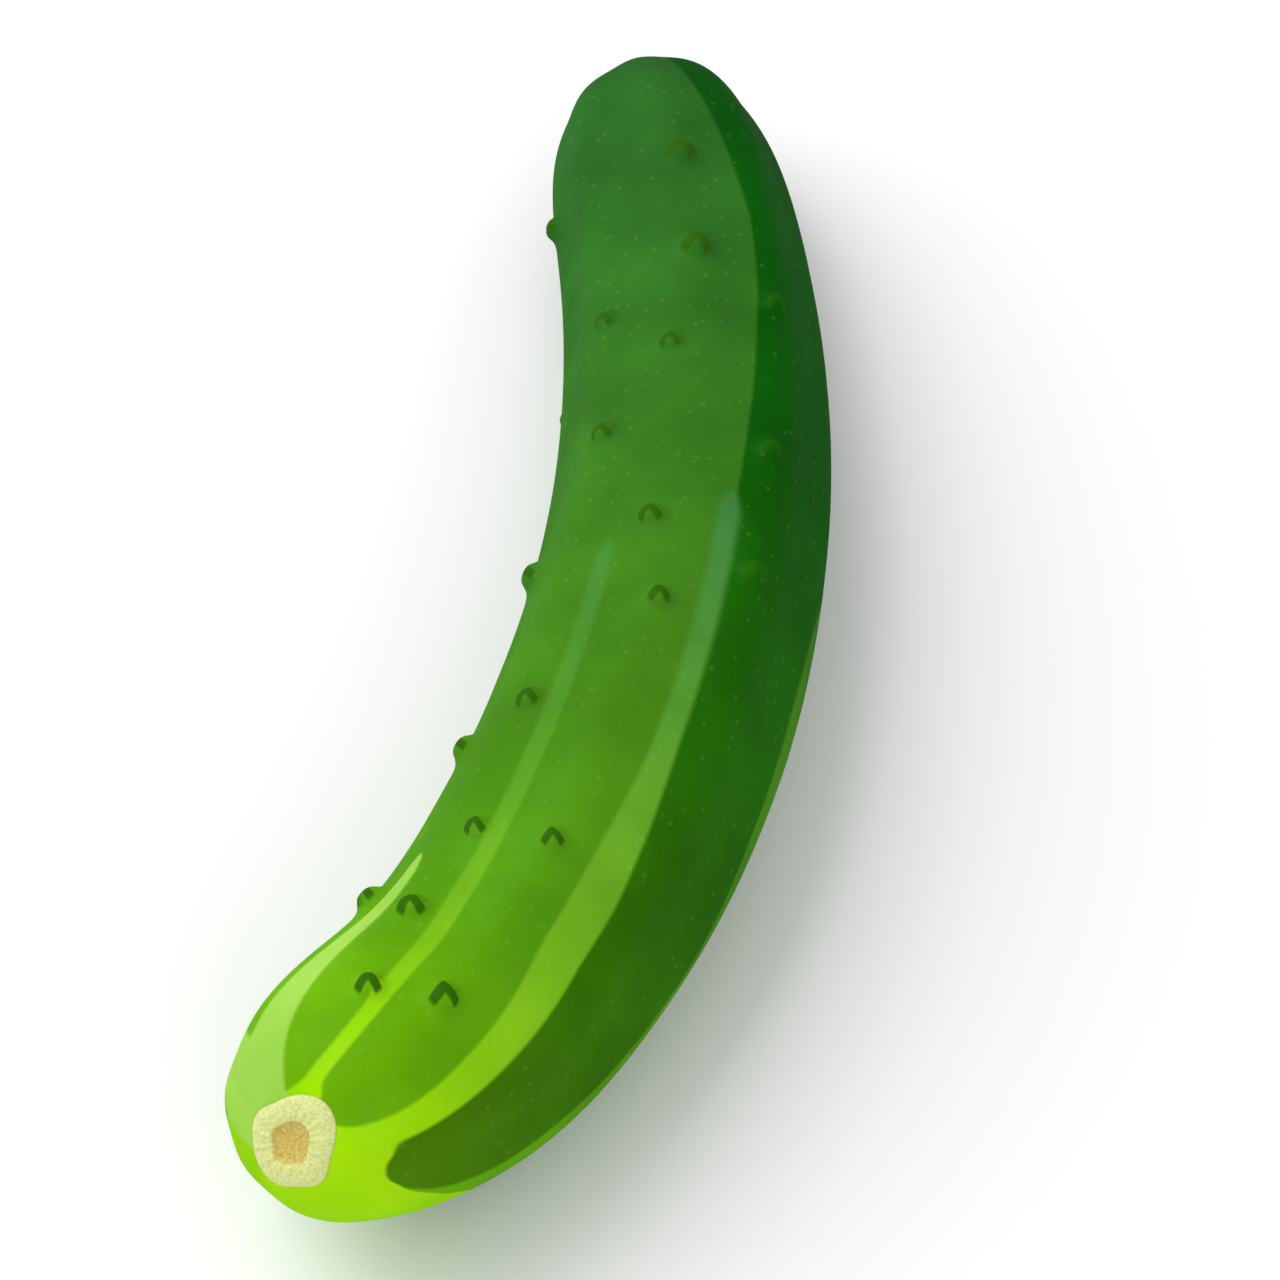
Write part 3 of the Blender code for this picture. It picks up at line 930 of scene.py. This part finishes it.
def makeCorkMaterial(name, rim, middle, middleReach):
    material = bpy.data.materials.new(name)
    material.use_nodes = True
    tree = material.node_tree
    shader = tree.nodes["Principled BSDF"]
    reach = split(tree, attribute(tree, "scarPlace"))[2]
    mottle = useGroup(tree, mottleGroup, {"Cloud Scale": 380.0, "Pore Scale": 2600.0, "Speck Scale": 1500.0})
    cloud = Field(tree, mottle.outputs["Cloud"])
    ragged = reach + (cloud - 0.5) * 0.12
    isMiddle = 1 - ramped(ragged, middleReach - 0.03, middleReach + 0.03)
    colour = mixColour(tree, isMiddle, srgb(*rim), srgb(*middle))
    grains = ramped(Field(tree, mottle.outputs["Pores"]), 0.35, 0.65)
    grainColour = put(tree, "ShaderNodeCombineColor", {0: grains, 1: grains, 2: grains}).outputs[0]
    colour = mixColour(tree, 0.3, colour, grainColour, "SOFT_LIGHT")
    plug(tree, shader.inputs["Base Color"], colour)
    plug(tree, shader.inputs["Roughness"], corkLook["roughness"] + (cloud - 0.5) * 0.2)
    shader.inputs["Specular IOR Level"].default_value = 0.2
    bump = put(tree, "ShaderNodeBump", {"Distance": 0.0003, "Strength": 0.6})
    plug(tree, bump.inputs["Height"], Field(tree, mottle.outputs["Pores"]) * 0.6 + cloud)
    plug(tree, shader.inputs["Normal"], bump.outputs[0])
    return material


hornLook = {
    "dark": (96, 132, 44),
    "light": (140, 150, 70),
    "roughness": (0.45, 0.65),
}


def makeSpineMaterial():
    material = bpy.data.materials.new("spineHorn")
    material.use_nodes = True
    tree = material.node_tree
    shader = tree.nodes["Principled BSDF"]
    mottle = useGroup(tree, mottleGroup, {"Cloud Scale": 900.0, "Pore Scale": 4000.0})
    cloud = Field(tree, mottle.outputs["Cloud"])
    colour = mixColour(tree, cloud, srgb(*hornLook["dark"]), srgb(*hornLook["light"]))
    plug(tree, shader.inputs["Base Color"], colour)
    low, high = hornLook["roughness"]
    plug(tree, shader.inputs["Roughness"], low + (high - low) * cloud)
    shader.inputs["Specular IOR Level"].default_value = 0.2
    return material


# The pieces

spinePoint = makeSpinePoint()
skinPlace = makeSkinPlace(spinePoint)

seedPoints = [(u, math.radians(degrees), size) for u, degrees, size in wartPlaces()]
fruit = grow("fruitSkin", makeFruitTree(skinPlace), seedPoints, makeSkinMaterial(), {})
print("skin grown:", len(fruit.data.polygons), "faces,", len(seedPoints), "warts")

blossomTree = makeScarTree(skinPlace, blossomEnd, scar["blossomRelief"], "blossomScarTree")
blossomCork = makeCorkMaterial("blossomCork", corkLook["rim"], corkLook["middle"], corkLook["middleReach"])
blossomScar = grow("blossomScar", blossomTree, [(0.0, 0.0, 0.0)], blossomCork, {})

stemTree = makeScarTree(skinPlace, stemEnd, scar["stemRelief"], "stemScarTree")
stemCork = makeCorkMaterial(
    "stemCork", corkLook["stemRim"], corkLook["stemMiddle"], corkLook["stemMiddleReach"],
)
stemScar = grow("stemScar", stemTree, [(0.0, 0.0, 0.0)], stemCork, {"Segments": 96, "Rings": 60})
wartSpines = grow("wartSpines", makeSpineTree(skinPlace), seedPoints, makeSpineMaterial(), {})
print("scars and", len(seedPoints), "spines made")

for piece, slot in ((fruit, "skin"), (blossomScar, "scar"), (stemScar, "scar"), (wartSpines, "spine")):
    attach(piece, "root")
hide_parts("cucumber")


# Floor, light and camera

stage = {
    "floorSize": 3.0,
    "floorColour": (0.91, 0.90, 0.91),
    "worldStrength": 0.68,
    "azimuth": 13.5,
    "elevation": 52.0,
    "distance": 0.9,
    "aim": (-10.82, 3.02, 21.5),
    "shift": (0.081, -0.0402),
    "lens": 174.8,
    # softboxes: name, place, size, power
    "lights": (
        ("keyLight", (-0.55, 0.1, 0.75), (0.9, 0.9), 6.4),
        ("fillLight", (0.4, -0.7, 0.5), (0.5, 0.4), 1.2),
    ),
    "lightAim": (0.0, 0.0, 0.02),
}


def makeFloor():
    bpy.ops.mesh.primitive_plane_add(size=stage["floorSize"], location=(0.0, 0.0, -0.0002))
    floor = bpy.context.object
    floor.name = "floor"
    material = bpy.data.materials.new("floorPaper")
    material.use_nodes = True
    shader = material.node_tree.nodes["Principled BSDF"]
    shader.inputs["Base Color"].default_value = (*stage["floorColour"], 1.0)
    shader.inputs["Roughness"].default_value = 0.9
    shader.inputs["Specular IOR Level"].default_value = 0.1
    floor.data.materials.append(material)
    return floor


def aimAt(item, target):
    item.rotation_euler = (Vector(target) - item.location).to_track_quat("-Z", "Y").to_euler()


def addSoftbox(name, place, target, size, power):
    light = bpy.data.lights.new(name, "AREA")
    light.shape = "RECTANGLE"
    light.size, light.size_y = size
    light.energy = power
    box = bpy.data.objects.new(name, light)
    box.location = place
    bpy.context.scene.collection.objects.link(box)
    aimAt(box, target)
    return box


def makeWorld():
    world = bpy.data.worlds.new("studio")
    world.use_nodes = True
    world.node_tree.nodes["Background"].inputs["Color"].default_value = (1.0, 1.0, 1.0, 1.0)
    world.node_tree.nodes["Background"].inputs["Strength"].default_value = stage["worldStrength"]
    bpy.context.scene.world = world


def makeCamera():
    camera = bpy.data.cameras.new("camera")
    camera.lens = stage["lens"]
    camera.shift_x, camera.shift_y = stage["shift"]
    camera.clip_start = 0.01
    item = bpy.data.objects.new("camera", camera)
    turn, rise = math.radians(stage["azimuth"]), math.radians(stage["elevation"])
    back = Vector((math.sin(turn) * math.cos(rise), -math.cos(turn) * math.cos(rise), math.sin(rise)))
    aim = Vector(stage["aim"]) * mm
    item.location = aim + back * stage["distance"]
    bpy.context.scene.collection.objects.link(item)
    aimAt(item, aim)
    bpy.context.scene.camera = item


makeFloor()
makeWorld()
for name, place, size, power in stage["lights"]:
    addSoftbox(name, place, stage["lightAim"], size, power)
makeCamera()
bpy.context.scene.view_settings.view_transform = "Standard"
print("stage set")
